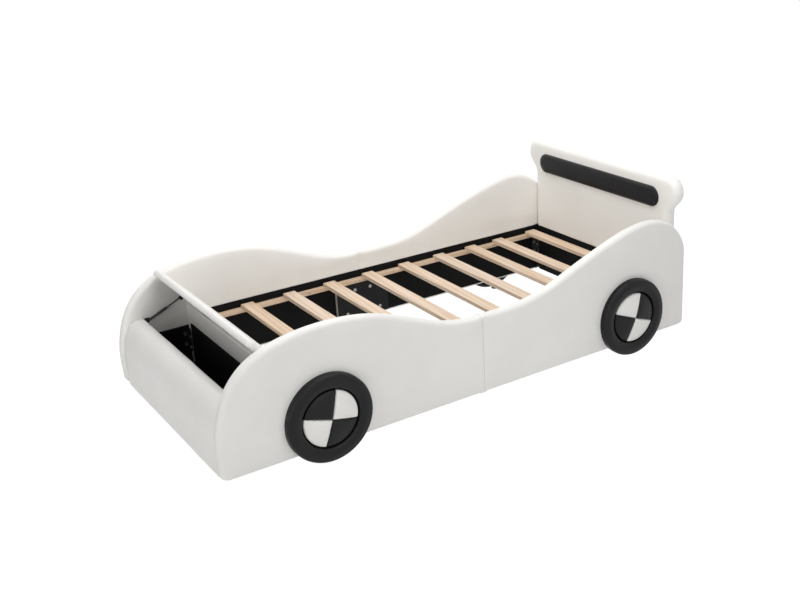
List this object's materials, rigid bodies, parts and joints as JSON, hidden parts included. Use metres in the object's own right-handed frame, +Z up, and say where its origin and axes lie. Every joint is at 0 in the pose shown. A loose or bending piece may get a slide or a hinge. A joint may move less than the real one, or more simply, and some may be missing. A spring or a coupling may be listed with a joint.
{
  "type": "car bed",
  "caption": "Upholstered car-shaped bed for a child: curved side panels with padded wheels, a lidded storage nose, wooden slats and a headboard shaped as a spoiler.",
  "frame": {"origin": "on the floor under the middle of the bed's bounding box", "axes": "+Y towards the headboard, +X towards the side that faces the camera in the picture (the left side of someone lying with their head at the headboard), +Z up"},
  "size_m": [1.176, 2.347, 0.781],
  "materials": {
    "white_upholstery": "smooth artificial leather over foam, satin",
    "black_upholstery": "smooth artificial leather over foam, satin",
    "black_lining": "flat woven lining cloth, matt",
    "pine": "planed, unvarnished",
    "panel_board": "raw particle board",
    "black_board": "black laminate with a pale edge band",
    "black_metal": "black powder coat, satin",
    "zinc_steel": "zinc plated",
    "bright_steel": "ground bright",
    "black_plastic": "moulded, matt"
  },
  "bodies": {
    "bed": {"assembly_bolts": "zinc_steel", "corner_brackets": "black_metal", "far_front_tyre": "black_upholstery", "far_rear_tyre": "black_upholstery", "far_side_front_board": "panel_board", "far_side_front_cover": "white_upholstery", "far_side_front_lining": "black_lining", "far_side_rear_board": "panel_board", "far_side_rear_cover": "white_upholstery", "far_side_rear_lining": "black_lining", "feet": "black_plastic", "headboard_board": "panel_board", "headboard_cover": "white_upholstery", "headboard_lining": "black_lining", "headboard_pad": "black_upholstery", "hinge_fixed_leaves": "black_metal", "hinge_pins": "bright_steel", "hub_black_quarters": "black_upholstery", "hub_white_quarters": "white_upholstery", "joining_plates": "black_board", "ledger_screws": "zinc_steel", "ledgers_front": "pine", "ledgers_rear": "pine", "near_front_tyre": "black_upholstery", "near_rear_tyre": "black_upholstery", "near_side_front_board": "panel_board", "near_side_front_cover": "white_upholstery", "near_side_front_lining": "black_lining", "near_side_rear_board": "panel_board", "near_side_rear_cover": "white_upholstery", "near_side_rear_lining": "black_lining", "nose_board": "panel_board", "nose_cover": "white_upholstery", "nose_lining": "black_lining", "partition_board": "panel_board", "partition_cover": "white_upholstery", "partition_lining": "black_lining", "slat_1": "pine", "slat_2": "pine", "slat_3": "pine", "slat_4": "pine", "slat_5": "pine", "slat_6": "pine", "slat_7": "pine", "slat_8": "pine", "slat_9": "pine", "storage_floor": "black_board", "strut_foot_brackets": "black_metal", "wheel_boards": "panel_board"},
    "lid": {"lid_cover": "white_upholstery", "lid_board": "panel_board", "hinge_moving_leaves": "black_metal", "strut_lid_brackets": "black_metal"},
    "near_cylinder": {"near_strut_cylinder": "black_metal"},
    "far_cylinder": {"far_strut_cylinder": "black_metal"},
    "near_rod": {"near_strut_rod": "bright_steel"},
    "far_rod": {"far_strut_rod": "bright_steel"}
  },
  "joints": [
    {"name": "lid_hinge", "type": "hinge", "parent": "bed", "child": "lid", "pos_m": [0, -0.85048, 0.368], "axis": [1, 0, 0], "range_deg": [0, 54.78]},
    {"name": "near_strut_swing", "type": "hinge", "parent": "bed", "child": "near_cylinder", "pos_m": [0.486, -1.04748, 0.324], "axis": [1, 0, 0], "range_deg": [-16.08, 0]},
    {"name": "near_strut_slide", "type": "slide", "parent": "near_cylinder", "child": "near_rod", "axis": [0, 0.9067, 0.4218], "range_m": [-0.01722, 0]},
    {"name": "far_strut_swing", "type": "hinge", "parent": "bed", "child": "far_cylinder", "pos_m": [-0.486, -1.04748, 0.324], "axis": [1, 0, 0], "range_deg": [-16.08, 0]},
    {"name": "far_strut_slide", "type": "slide", "parent": "far_cylinder", "child": "far_rod", "axis": [0, 0.9067, 0.4218], "range_m": [-0.01722, 0]}
  ],
  "couplings": [
    {"joint": "near_strut_swing", "follows": "lid_hinge", "ratio": -0.29315},
    {"joint": "near_strut_slide", "follows": "lid_hinge", "m_per_rad": -0.01799},
    {"joint": "far_strut_swing", "follows": "lid_hinge", "ratio": -0.29315},
    {"joint": "far_strut_slide", "follows": "lid_hinge", "m_per_rad": -0.01799}
  ]
}
